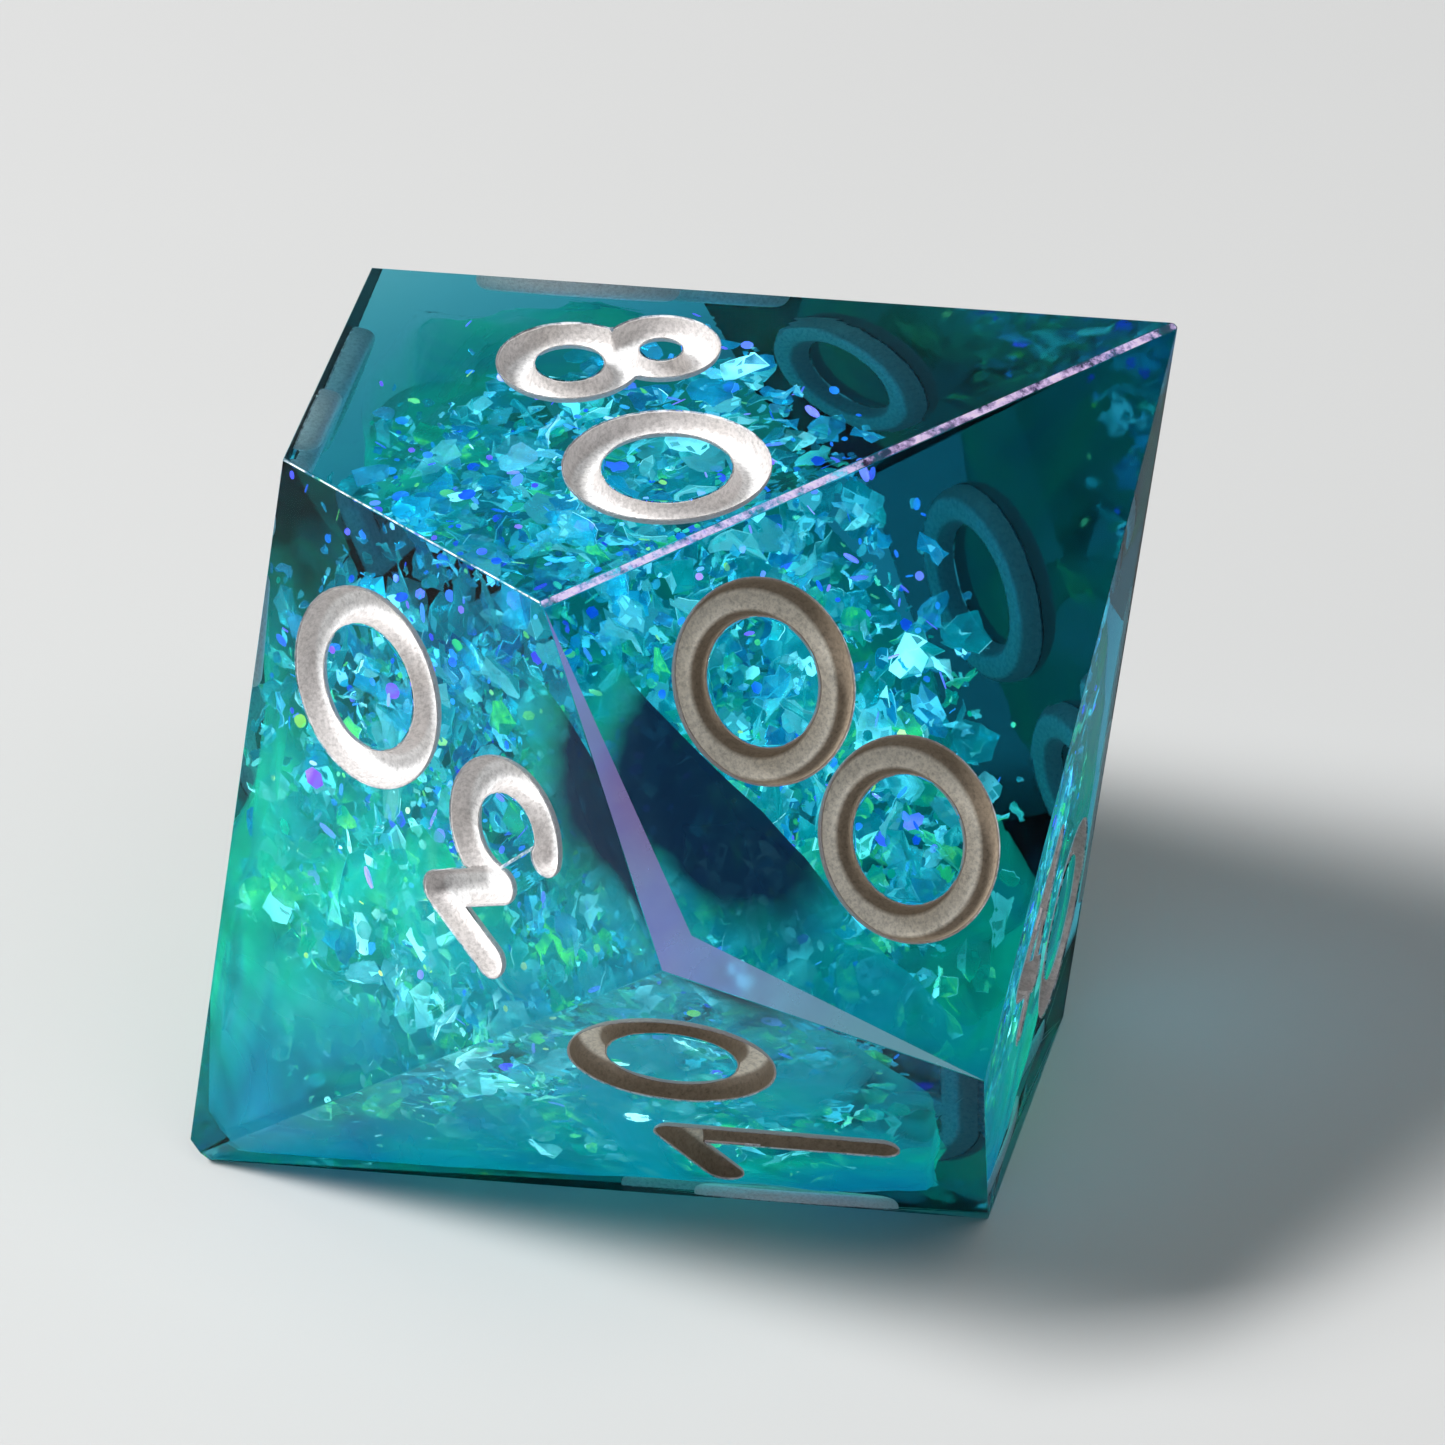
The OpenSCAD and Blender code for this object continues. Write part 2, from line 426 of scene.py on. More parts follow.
def triangulated(paths, border=()):
    # a flat triangle net that follows the strokes' outlines at every level
    points = [tuple(point) for point in border]
    edges = []
    for path in paths:
        loops = [loop for level in numeral["levels"] for loop in outlines(path, level * strokeHalf)]
        for loop in loops:
            first, count = len(points), len(loop)
            points.extend(map(tuple, loop))
            edges.extend((first + i, first + (i + 1) % count) for i in range(count))
        middle = path[:-1] if isRing(path) else path
        points.extend(map(tuple, middle))
    fence = [list(range(len(border)))] if len(border) else []
    insideOnly = 1 if fence else 0
    points = [Vector(point) for point in points]
    net = delaunay_2d_cdt(points, edges, fence, insideOnly, numeral["meetingPoints"])
    flat = np.array([tuple(point) for point in net[0]])
    return flat, net[2], net[3]


body = {
    "edgeRound": 0.05,
    "edgeSteps": 3,
    "sharpestKept": 12,  # degrees: flatter edges than this stay unrounded
    "northWear": 0.07,  # mm off each pole's tip
    "southWear": 0.32,
    "bandFace": 3,  # the face whose lower edges were polished too far
    "bandWidth": 0.95,
    "bandTilt": 5.0,  # degrees
    "bandFinish": 1,  # finishes are counted in the order of resinFinishes
    "rubbedEdges": {(1, 3): (0.19, 2), (1, 2): (0.06, 3)},  # two faces: width, finish
    "rimFinish": 3,  # round the numerals, whose rims get a painted highlight
    "sameWay": 0.9999,  # cosine between normals that count as one direction
    "smallestFlat": 0.2,  # square mm
    "flatPull": 1e4,  # flats set the normals of their corners this much more than bends do
    "cutSlack": 1e-4,
}


def shave(bm, point, outward):
    # cuts off what lies beyond a plane and closes the cut
    everything = bm.verts[:] + bm.edges[:] + bm.faces[:]
    cut = bmesh.ops.bisect_plane(
        bm, geom=everything, dist=body["cutSlack"],
        plane_co=point, plane_no=outward, clear_outer=True,
    )
    rim = [item for item in cut["geom_cut"] if isinstance(item, bmesh.types.BMEdge)]
    if rim:
        bmesh.ops.edgeloop_fill(bm, edges=rim)


def bandPlanes():
    # planes that lean a few degrees off the band face, hinged on lines that end at its corners
    k = body["bandFace"]
    outward = places[k].to_3x3().col[2]
    low = beltCorner(k)
    inward = (facePole(k) - low).normalized() * body["bandWidth"]
    hinge = low + inward
    planes = []
    for corner in (beltCorner(k - 1), beltCorner(k + 1)):
        along = (hinge - corner).normalized()
        for sign in (1, -1):
            turned = Matrix.Rotation(sign * math.radians(body["bandTilt"]), 3, along) @ outward
            if turned.dot(low - hinge) > 0:
                planes.append((hinge, turned))
    return planes


def rubbedPlane(pair, width):
    # a plane that takes the sharp edge between two faces down to a narrow flat
    first, second = (places[k].to_3x3().col[2] for k in pair)
    outward = (first + second).normalized()
    apart = first.angle(second) / 2
    return centre + outward * (half / math.cos(apart) - width / 2 * math.tan(apart)), outward


def engraved(face, k, bm, flatLayer):
    # swaps a plain face for one with both digits' grooves sunk in it
    paths = [path for digit in facePaths(k).values() for path in digit]
    place = places[k]
    toFlat = place.inverted()
    rim = list(face.verts)
    border = [tuple((toFlat @ vert.co).xy) for vert in rim]
    flat, triangles, sources = triangulated(paths, border)
    distance, _ = nearestOnPaths(flat, paths)
    sunk = -numeral["depth"] * grooveShape(distance / strokeHalf)
    onRim = strokeHalf * 0.999  # so that the outline itself counts as flat
    finish = face.material_index
    bmesh.ops.delete(bm, geom=[face], context="FACES_ONLY")
    verts = []
    for (x, y), depth, source in zip(flat, sunk, sources):
        shared = [i for i in source if i < len(rim)]
        verts.append(rim[shared[0]] if shared else bm.verts.new(place @ Vector((x, y, depth))))
    for triangle in triangles:
        made = bm.faces.new([verts[i] for i in triangle])
        made.material_index = finish
        reach = distance[list(triangle)]
        made[flatLayer] = int(reach.min() >= onRim)
        if reach.min() < onRim <= reach.max():
            made.material_index = body["rimFinish"]


def cutResin(bm):
    # the ideal body with its worn poles, polished band and rubbed edges, and the finish of each cut
    poles = {1: bm.verts.new(northPole), 0: bm.verts.new(southPole)}
    belt = [bm.verts.new(beltCorner(k)) for k in range(faceCount)]
    for k in range(faceCount):
        bm.faces.new([poles[k % 2], belt[k - 1], belt[k], belt[(k + 1) % faceCount]])
    bmesh.ops.recalc_face_normals(bm, faces=bm.faces)
    shave(bm, northPole - axis * body["northWear"], axis)
    shave(bm, southPole + axis * body["southWear"], -axis)
    cuts = []
    for point, outward in bandPlanes():
        shave(bm, point, outward)
        cuts.append((outward, body["bandFinish"]))
    for pair, (width, finish) in body["rubbedEdges"].items():
        point, outward = rubbedPlane(pair, width)
        shave(bm, point, outward)
        cuts.append((outward, finish))
    return cuts


def cornerNormals(bm, flatLayer):
    # each point's normal, which its flat faces decide, so that flats shade flat
    totals = {}
    for face in bm.faces:
        weight = face.calc_area() * (body["flatPull"] if face[flatLayer] else 1)
        for vert in face.verts:
            totals[vert] = totals.get(vert, Vector()) + face.normal * weight
    bm.verts.index_update()
    normals = [None] * len(bm.verts)
    for vert, total in totals.items():
        normals[vert.index] = total.normalized()
    return normals


def makeResin():
    bm = bmesh.new()
    cuts = cutResin(bm)
    bm.normal_update()
    keen = [e for e in bm.edges if e.calc_face_angle() > math.radians(body["sharpestKept"])]
    bmesh.ops.bevel(
        bm, geom=keen, offset=body["edgeRound"], segments=body["edgeSteps"],
        profile=0.5, affect="EDGES", clamp_overlap=True,
    )
    bm.normal_update()
    flatLayer = bm.faces.layers.int.new("flat")
    for face in bm.faces:
        for outward, finish in cuts:
            if face.normal.dot(outward) > body["sameWay"] and face.calc_area() > body["smallestFlat"]:
                face.material_index = finish
                face[flatLayer] = 1
    for k in range(faceCount):
        outward = places[k].to_3x3().col[2]
        facing = [f for f in bm.faces if f.normal.dot(outward) > body["sameWay"]]
        face = max(facing, key=lambda f: f.calc_area())
        engraved(face, k, bm, flatLayer)
    bm.normal_update()
    normals = cornerNormals(bm, flatLayer)
    loose = [vert for vert in bm.verts if not vert.link_faces]
    print("resin:", len(bm.verts), "points,", len(bm.faces), "faces,", len(loose), "loose")
    bmesh.ops.scale(bm, vec=(mm, mm, mm), verts=bm.verts)
    mesh = bpy.data.meshes.new("resinCasting")
    for face in bm.faces:
        face.smooth = True
    bm.to_mesh(mesh)
    bm.free()
    mesh.normals_split_custom_set_from_vertices(normals)
    return mesh


lining = {
    "thick": 0.035,
    "bond": 0.012,  # how far the paint reaches into the resin's wall
    "recess": 0.035,  # from the rim of the groove to the paint's edge
    "wander": 0.7,  # how unevenly it stops there
    "wanderScale": 3.1,
    "grain": 0.012,
    "grainScale": 9.0,
    "sharpBend": 50,  # degrees
}


def paintMesh(name, k, paths):
    # a thin closed lining: its back is bonded into the groove's wall, its front is what shows
    flat, triangles, _ = triangulated(paths)
    distance, nearest = nearestOnPaths(flat, paths)
    middles = nearestOnPaths(flat[np.array(triangles)].mean(axis=1), paths)[0]
    keep = [triangle for triangle, away in zip(triangles, middles) if away < strokeHalf]
    used = sorted({i for t in keep for i in t})
    order = {old: new for new, old in enumerate(used)}
    flat, distance, nearest = flat[used], distance[used], nearest[used]
    keep = [tuple(order[i] for i in t) for t in keep]
    shape = grooveShape(distance / strokeHalf)
    away = flat - nearest
    recess, thick, bond = lining["recess"], lining["thick"], lining["bond"]
    front = nearest + away * (strokeHalf - thick) / strokeHalf
    back = nearest + away * (strokeHalf + bond) / strokeHalf
    place = places[k]
    verts = []
    for (x, y), part in zip(front, shape):
        spot = Vector((x, y, k * 7.0))  # each face has its own part of the noise
        edge = recess * (1 + lining["wander"] * noise.noise(spot * lining["wanderScale"]))
        grain = lining["grain"] * noise.noise(spot * lining["grainScale"]) * part
        depth = -edge - (numeral["depth"] - thick - edge) * part + grain
        verts.append(place @ Vector((x, y, depth)))
    for (x, y), part in zip(back, shape):
        depth = -recess - (numeral["depth"] + bond - recess) * part
        verts.append(place @ Vector((x, y, depth)))
    count = len(front)
    sides = {}
    for a, b, c in keep:
        sides.update({(a, b): True, (b, c): True, (c, a): True})
    faces = list(keep)
    faces += [(c + count, b + count, a + count) for a, b, c in keep]
    rim = [(a, b) for a, b in sides if (b, a) not in sides]
    faces += [(b, a, a + count, b + count) for a, b in rim]
    mesh = bpy.data.meshes.new(name)
    mesh.from_pydata([v * mm for v in verts], [], faces)
    mesh.shade_smooth()
    mesh.set_sharp_from_angle(angle=math.radians(lining["sharpBend"]))
    sunk = mesh.attributes.new("sunk", "FLOAT", "POINT")
    level = 1 - distance / strokeHalf
    sunk.data.foreach_set("value", np.concatenate([level, level]).astype(np.float32))
    bonded = mesh.attributes.new("bonded", "FLOAT", "POINT")
    bonded.data.foreach_set("value", np.repeat([0, 1], count).astype(np.float32))
    return mesh


def addPiece(name, mesh, materials, slotName, *nodes):
    piece = bpy.data.objects.new(name, mesh)
    bpy.context.scene.collection.objects.link(piece)
    for material in materials:
        mesh.materials.append(material)
    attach(piece, "root")
    if nodes:
        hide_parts(*nodes)


# where the film and glitter lie in the resin
cloud = {
    "seed": 11,
    "clearance": 0.75,  # mm that everything keeps from the faces
    "reach": 6.3,  # mm from the cloud's middle to its edge
    "blur": 0.4,  # how ragged that edge is
    "drift": -1.9,  # mm along the axis from the die's centre to the cloud's middle
    "pocketFace": 3,  # the film stays out of a clear pocket under this face
    "pocketAt": (-2.7, -4.3, -3.0),
    "pocketReach": 3.1,
    "darkAt": (-0.9, -3.1, -1.4),  # painted shade: a near-black patch of the pearl pigment behind the clear pocket
    "darkReach": 3.45,
}

film = {
    "film_cyan": {"count": 1150, "sizes": (0.2, 1.5), "lift": 0.6},
    "film_blue": {"count": 480, "sizes": (0.2, 1.1), "lift": 1.6},
    "film_green": {"count": 760, "sizes": (0.2, 1.4), "lift": -1.8},
}

scrap = {
    "grid": 4,  # points along each side
    "thick": 0.02,
    "smallBias": 2.6,  # 1 makes all sizes as common, more makes the small ones commoner
    "narrowest": 0.45,  # width as a share of the length
    "ragged": 0.45,  # how far the outline strays
    "crumple": 0.44,  # depth of the creases
    "bend": 1.2,
    "sharpBend": 35,  # degrees
}

glitter = {
    "glitter_violet": {"count": 170, "sizes": (0.16, 0.5), "lift": 3.0},
    "glitter_blue": {"count": 170, "sizes": (0.12, 0.38), "lift": 1.5},
    "glitter_green": {"count": 170, "sizes": (0.12, 0.36), "lift": 0.0},
    "glitter_gold": {"count": 90, "sizes": (0.12, 0.34), "lift": 0.5},
}

dot = {
    "thick": 0.02,
    "smallBias": 2,
    "corners": (6, 8, 12),
    "clearance": 0.05,  # more than the film keeps, because dots are placed by their middles
}


def cloudPoint(rand, margin, lift):
    middle = centre + axis * cloud["drift"] + Vector((0, 0, lift))
    pocket = places[cloud["pocketFace"]] @ Vector(cloud["pocketAt"])
    while True:
        spot = centre + Vector([rand.uniform(-1, 1) for _ in range(3)]) * poleReach
        if roomAt([spot])[0] < margin or (spot - pocket).length < cloud["pocketReach"]:
            continue
        if (spot - middle).length < cloud["reach"] + rand.gauss(0, cloud["blur"]):
            return spot


def randomSize(rand, sizes, smallBias):
    return sizes[0] + (sizes[1] - sizes[0]) * rand.random() ** smallBias


def randomTurn(rand):
    return Quaternion([rand.gauss(0, 1) for _ in range(4)]).normalized().to_matrix()


def scrapSheet(rand, size):
    # a crumpled, ragged sheet: its points, about its own middle
    phase = Vector([rand.uniform(0, 50) for _ in range(3)])
    width = rand.uniform(scrap["narrowest"], 1)
    bend = rand.uniform(-scrap["bend"], scrap["bend"])
    last = scrap["grid"] - 1
    points = []
    for j in range(scrap["grid"]):
        for i in range(scrap["grid"]):
            u, v = 2 * i / last - 1, 2 * j / last - 1
            disc = max(abs(u), abs(v)) / max(math.hypot(u, v), 1e-9)  # rounds the square off
            ragged = 1 + scrap["ragged"] * noise.noise(phase + Vector((u, v, 0)) * 1.7)
            x, y = u * disc * ragged, v * disc * ragged * width
            crease = abs(noise.noise(phase + Vector((x, y, 3)) * 1.6)) * 2
            fine = noise.noise(phase + Vector((x, y, 9)) * 4.5) * 0.35
            z = (crease + fine) * scrap["crumple"] + bend * x * x * 0.35
            points.append(Vector((x, y, z)) * size / 2)
    return points


def filmMesh(name, values, rand):
    verts, faces = [], []
    side = scrap["grid"]
    low = side * side  # from a point on the upper skin to the one below it
    ringPath = list(range(side)) + [side * j + side - 1 for j in range(1, side)]
    ringPath += [low - 1 - i for i in range(1, side)] + [side * j for j in range(side - 2, 0, -1)]
    while values["count"] > len(verts) // (2 * low):
        size = randomSize(rand, values["sizes"], scrap["smallBias"])
        spot = cloudPoint(rand, cloud["clearance"] + 0.15 * size, values["lift"])
        turned = randomTurn(rand)
        sheet = [turned @ p + spot for p in scrapSheet(rand, size)]
        if roomAt(sheet).min() < cloud["clearance"]:
            continue
        up = turned @ Vector((0, 0, scrap["thick"]))
        first = len(verts)
        verts += sheet + [p - up for p in sheet]
        for j in range(side - 1):
            for i in range(side - 1):
                a = first + j * side + i
                quad = (a, a + 1, a + side + 1, a + side)
                faces.append(quad)
                faces.append(tuple(q + low for q in reversed(quad)))
        for a, b in zip(ringPath, ringPath[1:] + ringPath[:1]):
            faces.append((first + b, first + a, first + a + low, first + b + low))
    mesh = bpy.data.meshes.new(name)
    mesh.from_pydata([v * mm for v in verts], [], faces)
    mesh.shade_smooth()
    mesh.set_sharp_from_angle(angle=math.radians(scrap["sharpBend"]))
    return mesh


def glitterMesh(name, values, rand):
    verts, faces = [], []
    for _ in range(values["count"]):
        size = randomSize(rand, values["sizes"], dot["smallBias"])
        spot = cloudPoint(rand, cloud["clearance"] + dot["clearance"], values["lift"])
        turned = randomTurn(rand)
        corners = rand.choice(dot["corners"])
        first = len(verts)
        for height in (dot["thick"] / 2, -dot["thick"] / 2):
            for c in range(corners):
                turn = 2 * math.pi * c / corners
                flat = Vector((math.cos(turn) * size / 2, math.sin(turn) * size / 2, height))
                verts.append(turned @ flat + spot)
        faces.append(tuple(first + c for c in range(corners)))
        faces.append(tuple(first + corners + c for c in reversed(range(corners))))
        for c in range(corners):
            after = (c + 1) % corners
            faces.append((first + after, first + c, first + corners + c, first + corners + after))
    mesh = bpy.data.meshes.new(name)
    mesh.from_pydata([v * mm for v in verts], [], faces)
    return mesh


swirl = {
    "rows": 40,
    "columns": 96,
    "from": -11.8,  # mm along the axis from the die's centre
    "to": 0.8,
    "share": 0.75,  # of the way from the axis to the faces
    "ripple": 0.21,
    "leastReach": 0.3,  # near the tip, where the clearance would leave nothing
    "thick": 0.03,
}


def swirlMesh():
    # a rippled bell of pearl pigment round the south half of the axis
    side = (beltCorner(0) - centre).cross(axis).normalized()
    other = axis.cross(side)
    rows, columns = swirl["rows"], swirl["columns"]
    shells = ([], [])
    for j in range(rows):
        along = swirl["from"] + (swirl["to"] - swirl["from"]) * j / (rows - 1)
        for i in range(columns):
            turn = 2 * math.pi * i / columns
            outward = side * math.cos(turn) + other * math.sin(turn)
            start = centre + axis * along
            away = outwards @ np.array(outward)
            left = half - outwards @ np.array(start - centre)
            free = min(gap / slope for gap, slope in zip(left, away) if slope > 1e-6)
            ripple = noise.noise(outward * 1.6 + axis * along * 0.22)
            fine = noise.noise(outward * 5 + axis * along * 0.8) * 0.25
            reach = free * (swirl["share"] + swirl["ripple"] * (ripple + fine))
            reach = min(reach, max(free - cloud["clearance"], free * swirl["leastReach"]))
            shells[0].append(start + outward * reach)
            shells[1].append(start + outward * (reach - swirl["thick"]))
    verts = shells[0] + shells[1]
    low = rows * columns
    faces = []
    for j in range(rows - 1):
        for i in range(columns):
            after = (i + 1) % columns
            here, above = j * columns, (j + 1) * columns
            quad = (here + i, here + after, above + after, above + i)
            faces.append(quad)
            faces.append(tuple(q + low for q in reversed(quad)))
    for i in range(columns):
        after = (i + 1) % columns
        top = (rows - 1) * columns
        faces.append((after, i, i + low, after + low))
        faces.append((top + i, top + after, top + after + low, top + i + low))
    mesh = bpy.data.meshes.new("pearlSwirl")
    mesh.from_pydata([v * mm for v in verts], [], faces)
    mesh.shade_smooth()
    return mesh


resin = {
    "tone": (0.0, 0.67, 0.77),  # what the resin lets through
    "density": 300,
    "bend": 1.54,  # index of refraction
    "gloss": (0.2, 0.22, 0.24),  # painted shade on the reflections: the faces' mirror is dimmed, standing in for dark surroundings
    "haze": ((0.90, 1.0, 1.0), (0.97, 1.0, 1.0)),
    "hazeScale": 140,
    "rough": (0.012, 0.05),
    "scratchScales": (300, 260),
    "waveScale": 320,
    "waveDepth": 0.00005,  # metres
    "dullShare": (0.35, 0.85),  # how dull it looks straight on, and edge-on
    "dullRough": 0.02,
    "dullTint": (0.95, 1, 1),
}


def closeResin(finish, shader):
    # the same coloured depth behind every finish of the casting
    depth = {"Color": opaque(resin["tone"]), "Density": resin["density"]}
    return finish.close(shader, finish.add("VolumeAbsorption", depth))


def clearResin():
    clear = Finish("clearResin")
    where = clear.place()
    haze = clear.noise(where, resin["hazeScale"], detail=4)
    tint = clear.blend(haze, *map(opaque, resin["haze"]))
    alongScale, acrossScale = resin["scratchScales"]
    scratches = clear.noise(clear.place(stretch=(1, 1, 40), turn=(0.5, 0.9, 0.2)), alongScale, detail=5)
    crossed = clear.noise(clear.place(stretch=(30, 1, 1), turn=(0.2, 0.4, 1.1)), acrossScale, detail=5)
    rough = clear.spread(scratches * crossed, 0.15, 0.45, *resin["rough"])
    waves = clear.noise(where, resin["waveScale"], detail=2)
    height = waves * 0.8 + scratches * 0.1 + crossed * 0.1
    glass = clear.surface(
        Base_Color=tint, Roughness=rough, IOR=resin["bend"], Transmission_Weight=1.0,
        Specular_Tint=opaque(resin["gloss"]), Normal=clear.bump(height, 0.12, resin["waveDepth"]),
    )
    # painted shade on the reflections: part of the surface refracts without mirroring, most of all
    # where the faces are seen edge-on, standing in for dark surroundings
    dull = clear.add("BsdfRefraction", {
        "Color": opaque(resin["dullTint"]), "Roughness": resin["dullRough"], "IOR": resin["bend"],
    })
    facing = clear.add("LayerWeight", {"Blend": 0.5}, output="Facing")
    share = clear.spread(facing, 0.3, 0.9, *resin["dullShare"])
    return closeResin(clear, clear.add("MixShader", {0: share, 1: glass, 2: dull}))


# painted reflection: the band's violet colour, turning blue towards its lower end, stands in for light
# its polished face mirrors
bandLook = {
    "violet": ((0.42, 0.30, 0.92), (0.66, 0.56, 1.0)),
    "blue": (0.42, 0.72, 0.86),  # at the end that lies lower
    "blueFrom": 0.6,  # where it has turned blue, as a share of the band's length
    "inside": (0.5, 0.9, 0.95),  # seen through the die
    "cloudScale": 900,
    "rough": (0.18, 0.32),
    "clearness": 0.55,
    "cloudDepth": 0.00003,  # metres
}


def polishedBand():
    band = Finish("polishedBand")
    cloudy = band.noise(band.place(), bandLook["cloudScale"], detail=4)
    outer = band.blend(cloudy, *map(opaque, bandLook["violet"]))
    first, last = (beltCorner(body["bandFace"] + step) for step in (0, 1))
    along = (last - first).normalized()
    given = {0: band.add("TexCoord", output="Object"), 1: along}
    travel = band.add("VectorMath", given, output="Value", operation="DOT_PRODUCT")
    travel = travel - first.dot(along) * mm
    turning = band.spread(travel, 0, (last - first).length * bandLook["blueFrom"] * mm)
    outer = band.blend(turning, outer, opaque(bandLook["blue"]))
    # painted reflection: violet seen from outside, the inside colour seen from within the die
    behind = band.add("NewGeometry", output="Backfacing")
    glass = band.surface(
        Base_Color=band.blend(behind, outer, opaque(bandLook["inside"])),
        Roughness=band.spread(cloudy, 0.3, 0.7, *bandLook["rough"]), IOR=resin["bend"],
        Transmission_Weight=bandLook["clearness"], Specular_Tint=opaque(resin["gloss"]),
        Normal=band.bump(cloudy, 0.2, bandLook["cloudDepth"]),
    )
    return closeResin(band, glass)


rubbing = {
    "scale": 2600,
    "clearTint": (0.9, 1.0, 1.0),
    "clearRough": 0.06,
    "frostRough": 0.4,
    "frostClearness": 0.3,
    "frostDepth": 0.00003,  # metres
}


def rubbedEdgeAndHighlight(name, dull, bright):
    # rubbed, frosted resin along the edges and round the numerals, with a painted highlight: its violet
    # or white colour stands in for light these edges catch
    worn = Finish(name)
    rubbed = worn.noise(worn.place(), rubbing["scale"], detail=5, roughness=0.7)
    clearish = worn.surface(
        Base_Color=opaque(rubbing["clearTint"]), Roughness=rubbing["clearRough"],
        IOR=resin["bend"], Transmission_Weight=1.0, Specular_Tint=opaque(resin["gloss"]),
    )
    frosted = worn.surface(
        Base_Color=worn.blend(worn.spread(rubbed, 0.35, 0.65), opaque(dull), opaque(bright)),
        Roughness=rubbing["frostRough"], IOR=resin["bend"],
        Transmission_Weight=rubbing["frostClearness"],
        Normal=worn.bump(rubbed, 0.4, rubbing["frostDepth"]),
    )
    share = worn.spread(rubbed, 0.4, 0.56, 0.05, 0.95)
    return closeResin(worn, worn.add("MixShader", {0: share, 1: clearish, 2: frosted}))


silver = {
    "flakeScale": 11000,
    "patchScale": 900,
    "darkFlake": 0.68,  # how much of the paint's brightness its darkest flakes keep
    "grime": (0.86, 0.82, 0.76),
    "grimeShare": 0.4,
    "wallEnds": (0.30, 0.52),  # from rim to floor, where the painted shade on the groove's wall starts to pale and ends
    "metal": 0.18,
    "rough": (0.25, 0.5),
    "grainDepth": 0.00003,  # metres
    "backGlow": (0.5, 0.42, 0.46),  # painted light: the paint's bonded back glows, standing in for light that comes through the resin to it
    "backStrength": 0.28,
}


def silverPaint(name, floor, wall):
    paint = Finish(name)
    where = paint.place()
    flake = paint.noise(where, silver["flakeScale"], detail=4, roughness=0.75)
    patch = paint.noise(where, silver["patchScale"], detail=3)
    grime = paint.spread(patch, 0.45, 0.75)
    speck = paint.spread(flake, 0.38, 0.58)
    darker = [silver["darkFlake"] * channel for channel in floor]
    fresh = paint.blend(speck, opaque(darker), opaque(floor))
    worn = paint.blend(grime * silver["grimeShare"], fresh, opaque(silver["grime"]), "MULTIPLY")
    sunk = paint.add("Attribute", output="Fac", attribute_name="sunk")
    # painted shade: near the rim the groove's walls are multiplied by the wall colour, fading out
    # towards the floor
    colour = paint.blend(
        paint.spread(sunk, *silver["wallEnds"], 1, 0), worn, opaque(wall), "MULTIPLY"
    )
    # painted light: the lining's bonded back glows, though it is no lamp
    within = paint.add("Attribute", output="Fac", attribute_name="bonded")
    return paint.close(paint.surface(
        Base_Color=colour, Metallic=silver["metal"],
        Roughness=paint.spread(flake, 0.3, 0.7, *silver["rough"]),
        Normal=paint.bump(flake + patch * 0.6, 0.6, silver["grainDepth"]),
        Emission_Color=paint.blend(within, (0, 0, 0, 1), opaque(silver["backGlow"])),
        Emission_Strength=silver["backStrength"],
    ))


foilLook = {
    "flare": (1.6, 3.0, 3.2),  # painted glints: a few flakes glow nearly white, as if they caught the light
    "flareRarity": 10,
    "turns": 1.7,  # how many times the colours run through from flake to flake
    "driftScale": 420,
    "driftShare": 1.6,
    "creaseScale": 2400,
    "creaseDepth": 0.00006,  # metres
    "patchScale": 800,
    "metal": 0.6,
    "rough": (0.12, 0.4),
}


def iridescent(name, stops, glow, clear, burn):
    foil = Finish(name)
    where = foil.place()
    own = foil.add("NewGeometry", output="Random Per Island")
    drift = foil.noise(where, foilLook["driftScale"], detail=3, distortion=1.5)
    shift = (own * foilLook["turns"] + drift * foilLook["driftShare"]).fraction()
    colour = foil.add("ValToRGB", {"Fac": shift}, stops=stops)
    fine = foil.noise(where, foilLook["creaseScale"], detail=3)
    flare = (own * 13.7).fraction() ** foilLook["flareRarity"]
    light = foil.blend(flare * burn, colour, opaque(foilLook["flare"]))
    patches = foil.noise(where, foilLook["patchScale"], detail=3)
    # painted light: every flake glows in its colour at the given strength, though none is a lamp; the
    # rare flares are painted glints
    return foil.close(foil.surface(
        Base_Color=colour, Metallic=foilLook["metal"],
        Roughness=foil.spread(fine, 0.3, 0.7, *foilLook["rough"]),
        Alpha=foil.spread(patches, 0.35, 0.65, clear, 1),
        Emission_Color=light, Emission_Strength=glow,
        Normal=foil.bump(fine, 0.4, foilLook["creaseDepth"]),
    ))


pearl = {
    "stops": [
        (0.28, (0.0, 0.10, 0.12)), (0.42, (0.0, 0.30, 0.26)), (0.54, (0.0, 0.43, 0.24)),
        (0.64, (0.0, 0.48, 0.36)), (0.76, (0.2, 0.95, 0.45)),
    ],
    "flowScale": 170,
    "wispScale": 130,
    "wispShare": (0.1, 0.9),  # how much of the pigment covers, in thin and thick places
    "blue": (0.0, 0.11, 0.27),
    "blueFace": 4,  # the pigment turns blue towards this face
    "blueEnds": (0.0054, 0.0078),  # metres from the die's centre towards it
    "blueShare": 0.7,
    "blueWaver": 0.002,
    "pocketShade": (0.004, 0.012, 0.035),
    "pocketShadeBlur": 0.0014,
    "pocketShadeWaver": 0.0016,
    "topEnds": (0.0082, 0.0108),  # metres above the floor where the pigment thins out and ends
    "clearEdge": (0, 1),  # it also thins out towards the edge between these belt corners
    "clearEnds": (0.0050, 0.0085),
    "thickest": 0.85,
    "glow": 1.15,
    "rough": 0.5,
}


